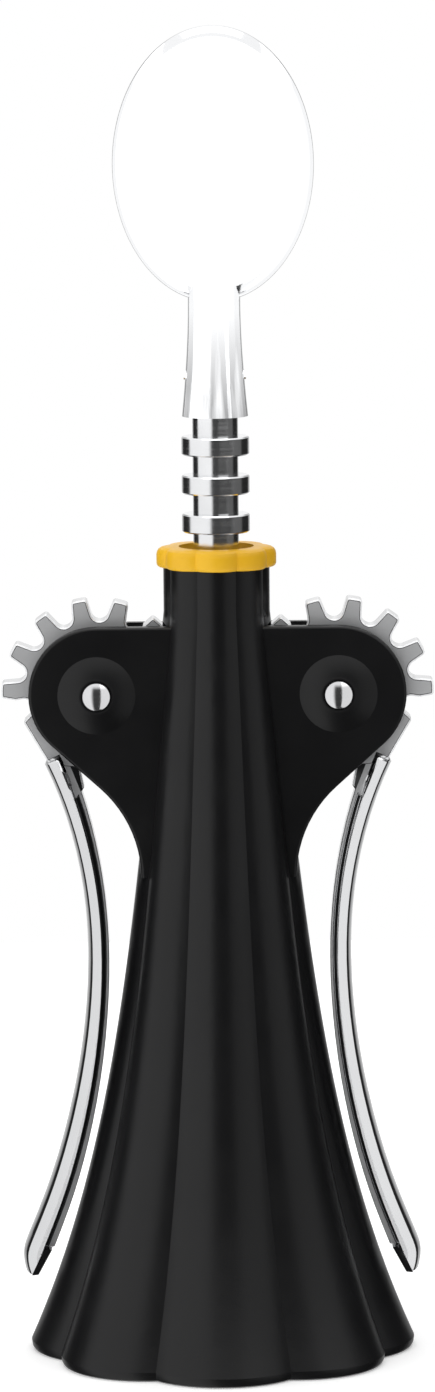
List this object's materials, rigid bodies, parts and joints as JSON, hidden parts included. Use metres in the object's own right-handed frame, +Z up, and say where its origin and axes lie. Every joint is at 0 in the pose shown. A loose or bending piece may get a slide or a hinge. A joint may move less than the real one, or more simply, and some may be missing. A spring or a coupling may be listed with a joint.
{
  "type": "wing corkscrew",
  "caption": "Wing corkscrew with a fluted bell body, a coloured collar, a ringed rack, and geared wing levers that draw the worm up.",
  "frame": {"origin": "middle of the bell's foot, on the floor", "axes": "+Z up along the worm's axis, the front faces -Y, the levers swing in the XZ plane, left lever on -X"},
  "size_m": [0.0794, 0.0712, 0.2449],
  "materials": {
    "bell_plastic": "black satin moulded plastic",
    "collar_plastic": "amber yellow satin plastic",
    "bush_plastic": "natural acetal, smooth",
    "guide_plastic": "black satin moulded plastic",
    "lever_chrome": "chromium plate on zinc casting, polished grip, satin gear and heel",
    "head_chrome": "chromium plate on zinc casting, polished",
    "rack_chrome": "chromium plate on turned steel, polished",
    "pin_steel": "turned stainless steel, polished head",
    "worm_steel": "drawn and polished steel wire",
    "screw_steel": "zinc plated steel",
    "bush_brass": "turned brass, plain"
  },
  "bodies": {
    "body": {"skirt_body": "bell_plastic", "top_collar": "collar_plastic", "bottle_guide": "guide_plastic", "guide_screws": "screw_steel", "pivot_pin_left": "pin_steel", "pivot_pin_right": "pin_steel", "pin_cap_left": "pin_steel", "pin_cap_right": "pin_steel"},
    "guide_bush": {"guide_bush": "bush_plastic"},
    "spindle": {"rack_spindle": "rack_chrome", "turning_head": "head_chrome", "head_pin": "pin_steel", "worm": "worm_steel", "worm_pin": "pin_steel", "stop_ring": "screw_steel"},
    "lever_left": {"lever_left": "lever_chrome", "lever_bush_left": "bush_brass"},
    "lever_right": {"lever_right": "lever_chrome", "lever_bush_right": "bush_brass"}
  },
  "joints": [
    {"name": "lever_left_swing", "type": "hinge", "parent": "body", "child": "lever_left", "pos_m": [-0.0222, 0, 0.1229], "axis": [0, 1, 0], "range_deg": [0, 150]},
    {"name": "lever_right_swing", "type": "hinge", "parent": "body", "child": "lever_right", "pos_m": [0.0222, 0, 0.1229], "axis": [0, -1, 0], "range_deg": [0, 150]},
    {"name": "screw_turn", "type": "hinge", "parent": "body", "child": "guide_bush", "pos_m": [0, 0, 0.1404], "axis": [0, 0, 1], "continuous": true},
    {"name": "rack_slide", "type": "slide", "parent": "guide_bush", "child": "spindle", "axis": [0, 0, -1], "range_m": [0, 0.04142]}
  ],
  "couplings": [
    {"joint": "lever_right_swing", "follows": "lever_left_swing", "ratio": 1},
    {"joint": "rack_slide", "follows": "lever_left_swing", "m_per_rad": 0.01582}
  ]
}
